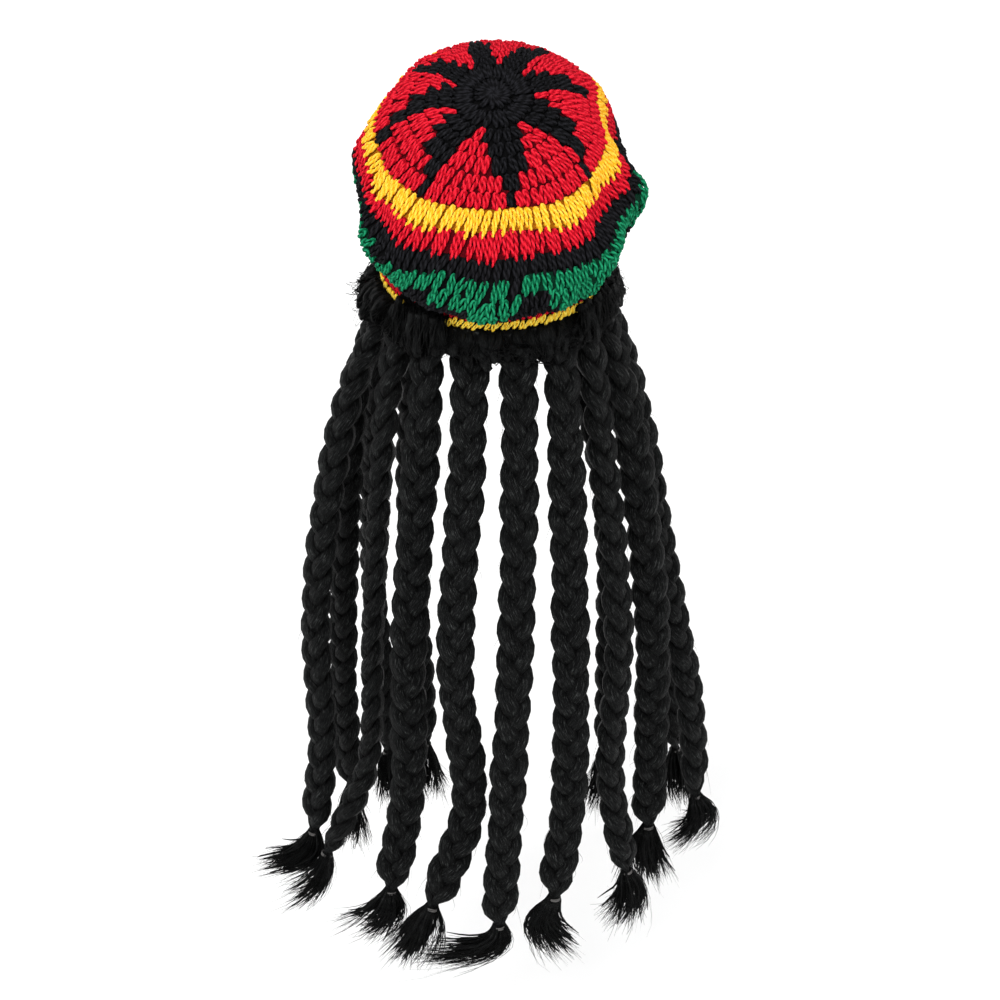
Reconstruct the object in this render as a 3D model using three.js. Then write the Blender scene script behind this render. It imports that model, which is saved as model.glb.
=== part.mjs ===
// A crocheted tam with a head band and plaits of synthetic hair, held as it is worn.
// Millimetres, +Z up. The origin is the centre of the head opening, in the plane of the band's
// lower rim. The back of the hat faces -Y and the wearer looks along +Y.

import * as THREE from 'three';

// Head opening and band
const headLength = 192;
const headWidth = 156;
const bandHeight = 30;
const bandTilt = 10.3;
const bandRowRelief = 0.7;

// Crochet
const knitWall = 3.8;
const seamGap = 0.4;

// Crown
const crownTop = 161;
const crownWidth = 200;
const crownOverhang = 24.8;
const ruffleDepth = 10;
const ruffleDrop = 5;
const rimSag = 3;
const foreheadBulge = 6;
const templeBulge = 0.7;
const bulgeFade = 1.3;
const frontPinch = 0.08;

// Strip of hair that the plaits hang from
const weftThickness = 3;
const weftInsideHeight = 12;
const weftDrop = 14;
const weftBulge = 4;
const weftOverrun = 7;
const weftBevel = 1;

// Plaits
const braidCount = 14;
const braidLength = 447;
const braidWidth = 28;
const braidDepth = 18;
const braidSpacing = 6;
const lobePitch = 22.4;
const lobeNotch = 5;
const lobeSlant = 1.2;
const rootDepth = 9;
const rootWidth = 23.5;
const rootGap = 0.3;
const curtainWidth = 326;
const curtainDepth = 240;
const neckRadius = 5.2;
const neckLength = 16;
const sectionShoulder = 0.45;
const endSwell = 0.8;
const tuftLength = 56;
const tuftWidth = 26;
const tuftDepth = 15;
const tuftDroop = 0.45;

// Elastic rings on the plaits' necks
const tieHeight = 3;
const tieWall = 1.8;
const tieClearance = 0.3;

// Fineness of the faceted solids
const roundSegments = 40;
const weftSegments = 30;
const tieSegments = 8;
const arcSteps = 720;

// Rounds of the crown from the rosette to the turned edge, as shares: the reach behind the origin,
// the height there, the reach in front, the height there, the half width, and how far it ruffles.
// The back reach is shared from the crown's furthest point, the front reach from the band's.
const crownRounds = [
  // Rosette 1
  { back: 0.570, backUp: 0.781, front: -0.515, frontUp: 0.904, half: 0.145, sideDrop: 0, ruffle: 0 },
  // Rosette 2
  { back: 0.631, backUp: 0.709, front: -0.395, frontUp: 0.950, half: 0.290, sideDrop: 0, ruffle: 0 },
  // Star 1
  { back: 0.673, backUp: 0.642, front: -0.290, frontUp: 0.975, half: 0.410, sideDrop: 0, ruffle: 0 },
  // Star 2
  { back: 0.716, backUp: 0.560, front: -0.140, frontUp: 0.996, half: 0.550, sideDrop: 0, ruffle: 0 },
  // Star 3
  { back: 0.754, backUp: 0.476, front: 0.005, frontUp: 1.000, half: 0.690, sideDrop: 0, ruffle: 0.10 },
  // Star 4
  { back: 0.790, backUp: 0.389, front: 0.120, frontUp: 0.988, half: 0.810, sideDrop: 0.01, ruffle: 0.25 },
  // Yellow
  { back: 0.834, backUp: 0.303, front: 0.250, frontUp: 0.963, half: 0.875, sideDrop: 0.03, ruffle: 0.45 },
  // Red
  { back: 0.890, backUp: 0.225, front: 0.380, frontUp: 0.922, half: 0.920, sideDrop: 0.055, ruffle: 0.65 },
  // Black
  { back: 0.951, backUp: 0.162, front: 0.495, frontUp: 0.865, half: 0.950, sideDrop: 0.075, ruffle: 0.85 },
  // Green 1
  { back: 0.985, backUp: 0.086, front: 0.590, frontUp: 0.798, half: 0.950, sideDrop: 0.09, ruffle: 1 },
  // Green 2
  { back: 0.982, backUp: 0.014, front: 0.665, frontUp: 0.720, half: 0.910, sideDrop: 0.09, ruffle: 0.85 },
  // Edge
  { back: 0.935, backUp: -0.028, front: 0.740, frontUp: 0.661, half: 0.870, sideDrop: 0.08, ruffle: 0.60 },
];
const crownPole = { back: 0.498, backUp: 0.848 };

// The turned-under rounds: the share of the way from the edge to the seam, of the sag and of the
// bulge over the forehead.
const underRounds = [
  { way: 0.28, sag: 0.75, bulge: 0.6 },
  { way: 0.55, sag: 1.0, bulge: 1.0 },
  { way: 0.82, sag: 0.6, bulge: 0.9 },
];

// Ruffles of the rim, round from the back: the angle, the half width, and the shares of the
// ruffle's depth and drop.
const ruffles = [
  { angle: -150, spread: 16, depth: 0.4, drop: 0 },
  { angle: -104, spread: 17, depth: 0.65, drop: 0 },
  { angle: -70, spread: 11, depth: 0.55, drop: -0.2 },
  { angle: -40, spread: 10, depth: 0.2, drop: -0.2 },
  { angle: -4, spread: 12, depth: 0.3, drop: 1.0 },
  { angle: 30, spread: 10, depth: 0.3, drop: 0.5 },
  { angle: 57, spread: 9, depth: 0.3, drop: -0.2 },
  { angle: 87, spread: 13, depth: 1.25, drop: -0.2 },
  { angle: 124, spread: 12, depth: 1.0, drop: 0 },
  { angle: 160, spread: 15, depth: 0.4, drop: 0 },
];

// Folds between and above the ruffles: the angle, the half width, the round where each is deepest,
// its half height in rounds, and how far it pushes out and down, as shares of the ruffle's depth.
const folds = [
  { angle: 60, spread: 11, round: 7.8, reach: 1.6, out: -0.9, down: 0 },
  { angle: 60, spread: 12, round: 10.2, reach: 1.3, out: 0.5, down: -0.5 },
  { angle: 94, spread: 19, round: 6.5, reach: 1.8, out: -1.1, down: 0 },
  { angle: 79, spread: 9, round: 10.8, reach: 1.3, out: -0.8, down: 0 },
  { angle: 50, spread: 14, round: 12.0, reach: 1.3, out: -0.3, down: 0.5 },
  { angle: -81, spread: 9, round: 9.8, reach: 1.5, out: -1.1, down: 0 },
  { angle: -69, spread: 9, round: 7.0, reach: 1.5, out: -0.6, down: 0 },
  { angle: -66, spread: 12, round: 11.8, reach: 1.2, out: -0.4, down: 0 },
  { angle: -118, spread: 15, round: 7.5, reach: 2.0, out: -0.6, down: 0 },
];

// Routes of the plaits, from the wearer's left temple round the back to the right temple, as
// shares: how far the plait bulges out below its root; its place at three heights, across and back,
// of the curtain's half width and half depth; the way that its flat side faces, in degrees from
// straight back; and the sideways lean of its tuft.
const braidRoutes = [
  { neckOut: 0.6, mid: [-0.42, 0.80], low: [-0.38, 0.93], end: [-0.36, 0.97], face: -60, lean: 0.1 },
  { neckOut: 0.8, mid: [-0.60, 0.58], low: [-0.57, 0.80], end: [-0.55, 0.87], face: -70, lean: 0.2 },
  { neckOut: 1.1, mid: [-0.71, 0.14], low: [-0.74, 0.34], end: [-0.72, 0.42], face: -50, lean: 0.1 },
  { neckOut: 1.5, mid: [-0.82, -0.21], low: [-0.82, -0.16], end: [-0.88, -0.12], face: -45, lean: -0.8 },
  { neckOut: 0.7, mid: [-0.55, -0.46], low: [-0.60, -0.37], end: [-0.82, -0.32], face: -85, lean: -0.5 },
  { neckOut: 0.4, mid: [-0.38, -0.74], low: [-0.40, -0.65], end: [-0.49, -0.62], face: 0, lean: -0.6 },
  { neckOut: 0.4, mid: [-0.17, -0.93], low: [-0.12, -0.81], end: [-0.30, -0.85], face: -12, lean: -0.25 },
  { neckOut: 0.4, mid: [0.09, -0.98], low: [0.05, -1.00], end: [0.02, -0.98], face: 20, lean: -1.0 },
  { neckOut: 0.4, mid: [0.34, -0.81], low: [0.34, -0.74], end: [0.28, -0.69], face: 5, lean: 0.15 },
  { neckOut: 0.5, mid: [0.56, -0.60], low: [0.54, -0.51], end: [0.63, -0.46], face: 55, lean: -0.25 },
  { neckOut: 0.9, mid: [0.72, -0.28], low: [0.75, -0.07], end: [0.75, -0.01], face: 10, lean: 0.05 },
  { neckOut: 1.1, mid: [0.81, 0.15], low: [0.96, 0.25], end: [1.00, 0.28], face: 50, lean: -0.4 },
  { neckOut: 0.8, mid: [0.77, 0.60], low: [0.89, 0.79], end: [0.93, 0.83], face: 70, lean: 0.1 },
  { neckOut: 0.6, mid: [0.55, 0.80], low: [0.57, 0.86], end: [0.57, 0.87], face: 70, lean: -0.1 },
];

// Rings of the loose tuft, then its long and short locks: the share of the tuft's length, and of
// its width or of the last ring. The last value is where the ends meet in the middle.
const tuftRings = [{ t: 0.22, size: 0.62 }, { t: 0.5, size: 0.95 }, { t: 0.78, size: 1 }];
const longLock = { t: 1.05, size: 0.55 };
const shortLock = { t: 0.9, size: 0.8 };
const tuftHollow = 0.92;
const tuftStep = 0.05;

// Heights of the routes' points below the root, as shares of the plait's length.
const routeHeights = { neck: 0.15, mid: 0.52, low: 0.8, end: 1.0, beyond: 1.12 };
const neckSpread = 18;

const colours = {
  crown: new THREE.MeshStandardMaterial({ color: 0xb3121f, roughness: 0.95, metalness: 0 }),
  band: new THREE.MeshStandardMaterial({ color: 0xe8a80c, roughness: 0.95, metalness: 0 }),
  hair: new THREE.MeshStandardMaterial({ color: 0x121212, roughness: 0.7, metalness: 0 }),
  tie: new THREE.MeshStandardMaterial({ color: 0x2a2a2a, roughness: 0.4, metalness: 0 }),
};

const radians = THREE.MathUtils.degToRad;
const mix = THREE.MathUtils.lerp;
const tam = new THREE.Group();

// Adds a closed geometry to the group as a named mesh, with its faces pointing out.
function addPiece(name, geometry, material) {
  const mesh = new THREE.Mesh(geometry, material);
  mesh.name = name;
  tam.add(mesh);
  return mesh;
}

// Joins each ring of points to the next one. The first and last rings close on each other when
// looped is true, on a tip where one is given, and otherwise on a flat face.
function loft(rings, { looped = false, tipStart = null, tipEnd = null } = {}) {
  const size = rings[0].length;
  const points = rings.flat();
  const triangles = [];
  const joins = looped ? rings.length : rings.length - 1;
  for (let ring = 0; ring < joins; ring++) {
    const here = ring * size;
    const next = ((ring + 1) % rings.length) * size;
    for (let i = 0; i < size; i++) {
      const j = (i + 1) % size;
      triangles.push([here + i, here + j, next + j], [here + i, next + j, next + i]);
    }
  }
  if (!looped) {
    const last = (rings.length - 1) * size;
    closeEnd(points, triangles, 0, size, tipStart, true);
    closeEnd(points, triangles, last, size, tipEnd, false);
  }
  return solidFrom(points, triangles);
}

// Closes an end ring with a fan of triangles from a tip or from the ring's own first point.
function closeEnd(points, triangles, first, size, tip, reversed) {
  const hub = tip ? points.push(tip) - 1 : first;
  const start = tip ? 0 : 1;
  const stop = tip ? size : size - 1;
  for (let i = start; i < stop; i++) {
    const a = first + i;
    const b = first + ((i + 1) % size);
    triangles.push(reversed ? [hub, b, a] : [hub, a, b]);
  }
}

// Makes a geometry of points and triangles, turned inside out where its volume is negative.
function solidFrom(points, triangles) {
  let volume = 0;
  for (const [a, b, c] of triangles) {
    volume += points[a].dot(new THREE.Vector3().crossVectors(points[b], points[c]));
  }
  const index = triangles.flatMap(([a, b, c]) => (volume < 0 ? [a, c, b] : [a, b, c]));
  const geometry = new THREE.BufferGeometry();
  geometry.setAttribute('position', new THREE.Float32BufferAttribute(points.flatMap((p) => p.toArray()), 3));
  geometry.setIndex(index);
  geometry.computeVertexNormals();
  return geometry;
}

// The band's own frame: its plane tips up towards the forehead.
const bandTurn = new THREE.Quaternion().setFromAxisAngle(new THREE.Vector3(1, 0, 0), radians(bandTilt));
const bandUp = new THREE.Vector3(0, 0, 1).applyQuaternion(bandTurn);

// A point at an angle round the head from the back, out from the band's inner face, up from its rim.
function bandPoint(angle, out, up) {
  const x = (headWidth / 2 + out) * Math.sin(angle);
  const y = -(headLength / 2 + out) * Math.cos(angle);
  return new THREE.Vector3(x, y, up).applyQuaternion(bandTurn);
}

function roundAngles(count) {
  return Array.from({ length: count }, (_, i) => (i / count) * 2 * Math.PI);
}

// Head band: three crocheted rows, each bulging a little.
function makeHeadband() {
  const rows = 3;
  const section = [{ out: 0, up: bandHeight }, { out: 0, up: 0 }, { out: knitWall - bandRowRelief, up: 0 }];
  for (let row = 0; row < rows; row++) {
    section.push({ out: knitWall, up: (bandHeight * (row + 0.5)) / rows });
  }
  section.push({ out: knitWall - bandRowRelief, up: bandHeight });
  const angles = roundAngles(roundSegments);
  const rings = section.map(({ out, up }) => angles.map((angle) => bandPoint(angle, out, up)));
  addPiece('headband', loft(rings, { looped: true }), colours.band);
}

// Crown
const bandReach = headLength / 2 + knitWall;
const crownBack = bandReach + crownOverhang;

// How far an angle is from a ruffle's or a fold's own, as a share of its half width.
function shareApart(angle, bump) {
  const turn = angle - radians(bump.angle);
  return Math.atan2(Math.sin(turn), Math.cos(turn)) / radians(bump.spread);
}

// How far the ruffles push a round out and down at an angle, as shares.
function ruffleAt(angle) {
  let depth = 0;
  let drop = 0;
  for (const ruffle of ruffles) {
    const bump = Math.exp(-(shareApart(angle, ruffle) ** 2));
    depth += ruffle.depth * bump;
    drop += ruffle.drop * bump;
  }
  return { depth, drop };
}

// How far the folds push a point of a round out and down, as shares of the ruffle's depth.
function foldAt(round, angle) {
  let out = 0;
  let down = 0;
  for (const fold of folds) {
    const above = (round - fold.round) / fold.reach;
    const bump = Math.exp(-(shareApart(angle, fold) ** 2) - above ** 2);
    out += fold.out * bump;
    down += fold.down * bump;
  }
  return { out, down };
}

// A point of one of the crown's rounds: an ellipse through its back, its front and its sides,
// ruffled and folded. The rounds are counted from the rosette.
function crownPoint(round, angle) {
  const row = crownRounds[round - 1];
  const backY = -row.back * crownBack;
  const backZ = row.backUp * crownTop;
  const frontY = row.front * bandReach;
  const frontZ = row.frontUp * crownTop;
  const share = (1 - Math.cos(angle)) / 2;
  const ruffle = ruffleAt(angle);
  const fold = foldAt(round, angle);
  const push = (row.ruffle * ruffle.depth + fold.out) * ruffleDepth;
  const pinch = 1 - frontPinch * row.ruffle * Math.max(0, -Math.cos(angle));
  const point = new THREE.Vector3(
    (pinch * row.half * crownWidth * Math.sin(angle)) / 2,
    mix(backY, frontY, share),
    mix(backZ, frontZ, share),
  );
  point.x += push * Math.sin(angle);
  point.y -= push * Math.cos(angle);
  point.z -= fold.down * ruffleDepth;
  point.z -= row.ruffle * ruffle.drop * ruffleDrop + row.sideDrop * crownTop * Math.sin(angle) ** 2;
  return point;
}

// A point of a turned-under round, hung between the crown's edge and the seam on the band.
function underPoint(under, angle) {
  const edge = crownPoint(crownRounds.length, angle);
  const seam = seamPoint(angle, 0);
  const point = edge.lerp(seam, under.way);
  const backness = Math.max(0, Math.cos(angle));
  const frontness = Math.min(1, Math.max(0, templeBulge - bulgeFade * Math.cos(angle)));
  const bulge = under.bulge * foreheadBulge * frontness;
  point.x += bulge * Math.sin(angle);
  point.y -= bulge * Math.cos(angle);
  point.z -= under.sag * rimSag * backness;
  return point;
}

function seamPoint(angle, up) {
  return bandPoint(angle, knitWall + seamGap, bandHeight - 2 * knitWall + up);
}

// The outer and inner skins of the crochet, joined at the apex's two tips and at the seam.
function makeCrown() {
  const angles = roundAngles(roundSegments);
  const outer = crownRounds.map((_, row) => angles.map((angle) => crownPoint(row + 1, angle)));
  for (const under of underRounds) {
    outer.push(angles.map((angle) => underPoint(under, angle)));
  }
  outer.push(angles.map((angle) => seamPoint(angle, 0)));
  const pole = new THREE.Vector3(0, -crownPole.back * crownBack, crownPole.backUp * crownTop);
  const inner = outer.slice(0, -1).map((ring, row) => ring.map((point, i) => {
    const above = row > 0 ? outer[row - 1][i] : pole;
    const below = outer[row + 1][i];
    const left = ring[(i + ring.length - 1) % ring.length];
    const right = ring[(i + 1) % ring.length];
    const along = new THREE.Vector3().subVectors(below, above);
    const around = new THREE.Vector3().subVectors(right, left);
    const normal = new THREE.Vector3().crossVectors(along, around).normalize();
    return point.clone().addScaledVector(normal, -knitWall);
  }));
  inner.push(angles.map((angle) => seamPoint(angle, knitWall)));
  const domeRounds = crownRounds.filter((row) => row.ruffle === 0).length;
  const thinned = inner.filter((_, row) => row >= domeRounds || row % 2 === 1);
  const poleNormal = new THREE.Vector3().crossVectors(
    new THREE.Vector3().subVectors(outer[0][0], outer[0][roundSegments / 2]),
    new THREE.Vector3().subVectors(outer[0][roundSegments / 4], outer[0][(3 * roundSegments) / 4]),
  ).normalize();
  const innerPole = pole.clone().addScaledVector(poleNormal, -knitWall);
  const rings = [...outer, ...thinned.reverse()];
  addPiece('crown', loft(rings, { tipStart: pole, tipEnd: innerPole }), colours.crown);
}

// Angles round the band at even distances along it, so that the plaits hang side by side.
const rootPitch = braidWidth + braidSpacing;
const arcStep = Math.PI / arcSteps;

function angleAtArc(arc) {
  const half = headWidth / 2 + knitWall;
  const reach = headLength / 2 + knitWall;
  let travelled = 0;
  let angle = 0;
  while (travelled < Math.abs(arc)) {
    travelled += Math.hypot(half * Math.cos(angle), reach * Math.sin(angle)) * arcStep;
    angle += arcStep;
  }
  return Math.sign(arc) * angle;
}

function rootArc(index) {
  return (index - (braidCount - 1) / 2) * rootPitch;
}

// Strip of hair: sewn inside the band, rolling out below its edge.
const weftInner = -(seamGap + weftThickness);
const weftOuter = knitWall + weftBulge;

function makeWeft() {
  const section = [
    { out: -seamGap, up: weftInsideHeight },
    { out: weftInner, up: weftInsideHeight },
    { out: weftInner, up: -weftDrop },
    { out: weftOuter - weftBevel, up: -weftDrop },
    { out: weftOuter, up: -weftDrop / 2 },
    { out: knitWall, up: -2 * seamGap },
    { out: -seamGap, up: -2 * seamGap },
  ];
  const reach = rootArc(braidCount - 1) + rootPitch / 2 + weftOverrun;
  const rings = [];
  for (let i = 0; i <= weftSegments; i++) {
    const angle = angleAtArc(mix(-reach, reach, i / weftSegments));
    rings.push(section.map(({ out, up }) => bandPoint(angle, out, up)));
  }
  addPiece('hair_weft', loft(rings), colours.hair);
}

// The centre line of a plait, from its root on the strip of hair down past its neck.
function braidCurve(index, root) {
  const route = braidRoutes[index];
  const angle = angleAtArc(rootArc(index));
  const spread = new THREE.Vector3(Math.sin(angle), -Math.cos(angle), 0).multiplyScalar(
    route.neckOut * neckSpread,
  );
  const at = ([x, y], height) => new THREE.Vector3(
    (x * curtainWidth) / 2,
    (y * curtainDepth) / 2,
    root.z - height * braidLength,
  );
  const neck = root.clone().add(spread);
  neck.z = root.z - routeHeights.neck * braidLength;
  const end = at(route.end, routeHeights.end);
  const beyond = at(route.end, routeHeights.beyond);
  return new THREE.CatmullRomCurve3([
    root,
    root.clone().addScaledVector(bandUp, -rootDepth),
    neck,
    at(route.mid, routeHeights.mid),
    at(route.low, routeHeights.low),
    end,
    beyond,
  ], false, 'centripetal');
}

// The neck's section is a regular hexagon, so its flats lie nearer than its corners.
const neckDepth = neckRadius * Math.cos(Math.PI / 6);

// A six-sided section, its width along the first direction and its depth along the second.
function braidSection(centre, wide, deep, along, size) {
  const { left, right, depth, slant } = size;
  const corners = [
    [right, 0, -slant], [right * sectionShoulder, depth, 0], [-left * sectionShoulder, depth, 0],
    [-left, 0, slant], [-left * sectionShoulder, -depth, 0], [right * sectionShoulder, -depth, 0],
  ];
  return corners.map(([w, d, s]) => centre.clone()
    .addScaledVector(wide, w)
    .addScaledVector(deep, d)
    .addScaledVector(along, s));
}

// One plait: a gathered root, lobes left and right in turn, a narrow neck and a loose tuft.
function makeBraid(index) {
  const route = braidRoutes[index];
  const angle = angleAtArc(rootArc(index));
  const root = bandPoint(angle, (weftInner + weftOuter) / 2, -weftDrop - rootGap);
  const curve = braidCurve(index, root);
  const total = curve.getLength();
  const rootWide = bandPoint(angle + arcStep, 0, 0).sub(bandPoint(angle - arcStep, 0, 0)).normalize();
  const face = radians(route.face);
  const faceWide = new THREE.Vector3(Math.cos(face), Math.sin(face), 0);
  if (faceWide.dot(rootWide) < 0) {
    faceWide.negate();
  }

  // The frame at a distance along the centre line: the flat side turns from the root's way.
  function frameAt(distance) {
    const centre = curve.getPointAt(distance / total);
    const along = curve.getTangentAt(distance / total);
    const turn = THREE.MathUtils.smoothstep(distance, 0, braidLength / 3);
    const wide = rootWide.clone().lerp(faceWide, turn);
    wide.addScaledVector(along, -wide.dot(along)).normalize();
    const deep = new THREE.Vector3().crossVectors(along, wide);
    return { centre, along, wide, deep };
  }

  const rootDeep = new THREE.Vector3().crossVectors(bandUp, rootWide);
  const rings = [braidSection(root, rootWide, rootDeep.negate(), bandUp, {
    left: rootWidth / 2, right: rootWidth / 2, depth: rootDepth / 2, slant: 0,
  })];
  const plaited = braidLength - neckLength;
  const lobes = Math.round((2 * plaited) / lobePitch);
  for (let k = 1; k <= lobes; k++) {
    const { centre, along, wide, deep } = frameAt((plaited * k) / lobes);
    const full = braidWidth / 2;
    const swell = k === lobes ? endSwell : 1;
    const leftLobe = k % 2 === 0;
    const left = swell * (leftLobe ? full : full - lobeNotch);
    const right = swell * (leftLobe ? full - lobeNotch : full);
    const slant = leftLobe ? lobeSlant : -lobeSlant;
    const depth = (swell * (k === 1 ? (rootDepth + braidDepth) / 2 : braidDepth)) / 2;
    rings.push(braidSection(centre, wide, deep, along, { left, right, depth, slant }));
  }
  for (const offset of [-tieHeight, tieHeight]) {
    const { centre, along, wide, deep } = frameAt(braidLength + offset);
    const neck = { left: neckRadius, right: neckRadius, depth: neckDepth, slant: 0 };
    rings.push(braidSection(centre, wide, deep, along, neck));
  }

  // The tuft swings sideways from the neck and ends in uneven locks.
  const neckFrame = frameAt(braidLength);
  const lean = new THREE.Vector3(route.lean, 0, 0);
  const tuftAt = (t) => neckFrame.centre.clone()
    .addScaledVector(neckFrame.along, t * tuftLength * (1 - tuftDroop * Math.abs(route.lean) * t))
    .addScaledVector(lean, t * t * tuftLength);
  for (const { t, size } of tuftRings) {
    const along = tuftAt(t + tuftStep).sub(tuftAt(t - tuftStep)).normalize();
    const deep = new THREE.Vector3().crossVectors(along, neckFrame.wide).normalize();
    const wide = new THREE.Vector3().crossVectors(deep, along);
    const half = (size * tuftWidth) / 2;
    rings.push(braidSection(tuftAt(t), wide, deep, along, {
      left: half, right: half, depth: (size * tuftDepth) / 2, slant: 0,
    }));
  }
  const lastRing = rings[rings.length - 1];
  const lastCentre = tuftAt(tuftRings[tuftRings.length - 1].t);
  const lockEnds = lastRing.map((point, i) => {
    const lock = i % 2 === 0 ? longLock : shortLock;
    return tuftAt(lock.t).addScaledVector(point.clone().sub(lastCentre), lock.size);
  });
  rings.push(lockEnds);
  const tip = tuftAt(tuftHollow);
  const name = String(index + 1).padStart(2, '0');
  addPiece(`braid_${name}`, loft(rings, { tipEnd: tip }), colours.hair);
  makeTie(name, neckFrame);
}

// Elastic ring, clear of the plait's neck all round.
function makeTie(name, frame) {
  const inner = (neckRadius + tieClearance) / Math.cos(Math.PI / tieSegments);
  const outer = inner + tieWall;
  const half = tieHeight / 2;
  const profile = [[inner, half], [inner, -half], [outer, -half], [outer, half], [inner, half]];
  const geometry = new THREE.LatheGeometry(profile.map(([x, y]) => new THREE.Vector2(x, y)), tieSegments);
  const mesh = addPiece(`tie_${name}`, geometry, colours.tie);
  mesh.position.copy(frame.centre);
  mesh.quaternion.setFromUnitVectors(new THREE.Vector3(0, 1, 0), frame.along.clone().negate());
}

makeHeadband();
makeCrown();
makeWeft();
for (let index = 0; index < braidCount; index++) {
  makeBraid(index);
}

export default tam;
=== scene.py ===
"""A crocheted tam with a head band and plaits of synthetic hair, held as it is worn.

Lengths are in millimetres until a mesh is made. +Z is up, the back of the hat faces -Y, and the
origin is the centre of the head opening, in the plane of the band's lower rim.
"""

import math

import bpy
import numpy as np
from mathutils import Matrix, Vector


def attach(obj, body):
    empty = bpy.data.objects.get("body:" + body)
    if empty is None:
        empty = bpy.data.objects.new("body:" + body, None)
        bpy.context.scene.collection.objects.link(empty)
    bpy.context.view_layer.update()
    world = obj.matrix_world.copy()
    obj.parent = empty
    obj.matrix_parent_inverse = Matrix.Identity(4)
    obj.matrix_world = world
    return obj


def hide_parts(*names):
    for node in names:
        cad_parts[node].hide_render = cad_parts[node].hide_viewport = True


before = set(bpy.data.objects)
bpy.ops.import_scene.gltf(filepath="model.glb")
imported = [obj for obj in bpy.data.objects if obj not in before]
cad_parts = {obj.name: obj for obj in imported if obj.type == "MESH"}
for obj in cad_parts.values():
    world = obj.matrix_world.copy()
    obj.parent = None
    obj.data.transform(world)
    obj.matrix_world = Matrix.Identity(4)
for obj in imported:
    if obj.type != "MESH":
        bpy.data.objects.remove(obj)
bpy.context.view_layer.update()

MM = 0.001
BODY = "root"

# Head opening and band
HEAD_LENGTH = 192
HEAD_WIDTH = 156
BAND_HEIGHT = 30
BAND_TILT = math.radians(10.3)
KNIT_WALL = 3.8
SEAM_GAP = 0.4

# Crown
CROWN_TOP = 161
CROWN_WIDTH = 200
CROWN_OVERHANG = 24.8
RUFFLE_DEPTH = 10
RUFFLE_DROP = 5
RIM_SAG = 3
FOREHEAD_BULGE = 6
TEMPLE_BULGE = 0.7
BULGE_FADE = 1.3
FRONT_PINCH = 0.08
BAND_REACH = HEAD_LENGTH / 2 + KNIT_WALL
CROWN_BACK = BAND_REACH + CROWN_OVERHANG

# Rounds of the crown from the rosette to the turned edge, as shares: reach behind, height there,
# reach in front, height there, half width, drop of the sides, ruffle.
CROWN_ROUNDS = [
    (0.57, 0.781, -0.515, 0.904, 0.145, 0, 0),
    (0.631, 0.709, -0.395, 0.95, 0.29, 0, 0),
    (0.673, 0.642, -0.29, 0.975, 0.41, 0, 0),
    (0.716, 0.56, -0.14, 0.996, 0.55, 0, 0),
    (0.754, 0.476, 0.005, 1, 0.69, 0, 0.1),
    (0.79, 0.389, 0.12, 0.988, 0.81, 0.01, 0.25),
    (0.834, 0.303, 0.25, 0.963, 0.875, 0.03, 0.45),
    (0.89, 0.225, 0.38, 0.922, 0.92, 0.055, 0.65),
    (0.951, 0.162, 0.495, 0.865, 0.95, 0.075, 0.85),
    (0.985, 0.086, 0.59, 0.798, 0.95, 0.09, 1),
    (0.982, 0.014, 0.665, 0.72, 0.91, 0.09, 0.85),
    (0.935, -0.028, 0.74, 0.661, 0.87, 0.08, 0.6),
]
CROWN_POLE = (0.498, 0.848)

# Turned-under rounds, as shares: way from the edge to the seam, sag, bulge over the forehead.
UNDER_ROUNDS = [(0.28, 0.75, 0.6), (0.55, 1.0, 1.0), (0.82, 0.6, 0.9)]

# Ruffles of the rim: angle from the back, half width, depth and drop as shares.
RUFFLES = [
    (-150, 16, 0.4, 0), (-104, 17, 0.65, 0), (-70, 11, 0.55, -0.2), (-40, 10, 0.2, -0.2),
    (-4, 12, 0.3, 1.0), (30, 10, 0.3, 0.5), (57, 9, 0.3, -0.2), (87, 13, 1.25, -0.2),
    (124, 12, 1.0, 0), (160, 15, 0.4, 0),
]

# Folds between and above the ruffles: angle, half width, round, half height in rounds, and how far
# they push out and down.
FOLDS = [
    (60, 11, 7.8, 1.6, -9, 0), (60, 12, 10.2, 1.3, 5, -5), (94, 19, 6.5, 1.8, -11, 0),
    (79, 9, 10.8, 1.3, -8, 0), (50, 14, 12.0, 1.3, -3, 5), (-81, 9, 9.8, 1.5, -11, 0),
    (-69, 9, 7.0, 1.5, -6, 0), (-66, 12, 11.8, 1.2, -4, 0), (-118, 15, 7.5, 2.0, -6, 0),
]

# Strip of hair and plaits
WEFT_THICKNESS = 3
WEFT_INSIDE = 12
WEFT_DROP = 14
WEFT_BULGE = 4
WEFT_INNER = -(SEAM_GAP + WEFT_THICKNESS)
WEFT_OUTER = KNIT_WALL + WEFT_BULGE
BRAID_COUNT = 14
BRAID_LENGTH = 447
BRAID_WIDTH = 28
BRAID_DEPTH = 18
BRAID_SPACING = 6
BRAID_PITCH = BRAID_WIDTH + BRAID_SPACING
LOBE_PITCH = 22.4
ROOT_DEPTH = 9
ROOT_GAP = 0.3
CURTAIN_WIDTH = 326
CURTAIN_DEPTH = 240
NECK_SPREAD = 18
NECK_RADIUS = 5.2
NECK_LENGTH = 16
TUFT_LENGTH = 56
TUFT_WIDTH = 26
TUFT_DROOP = 0.45

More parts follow.
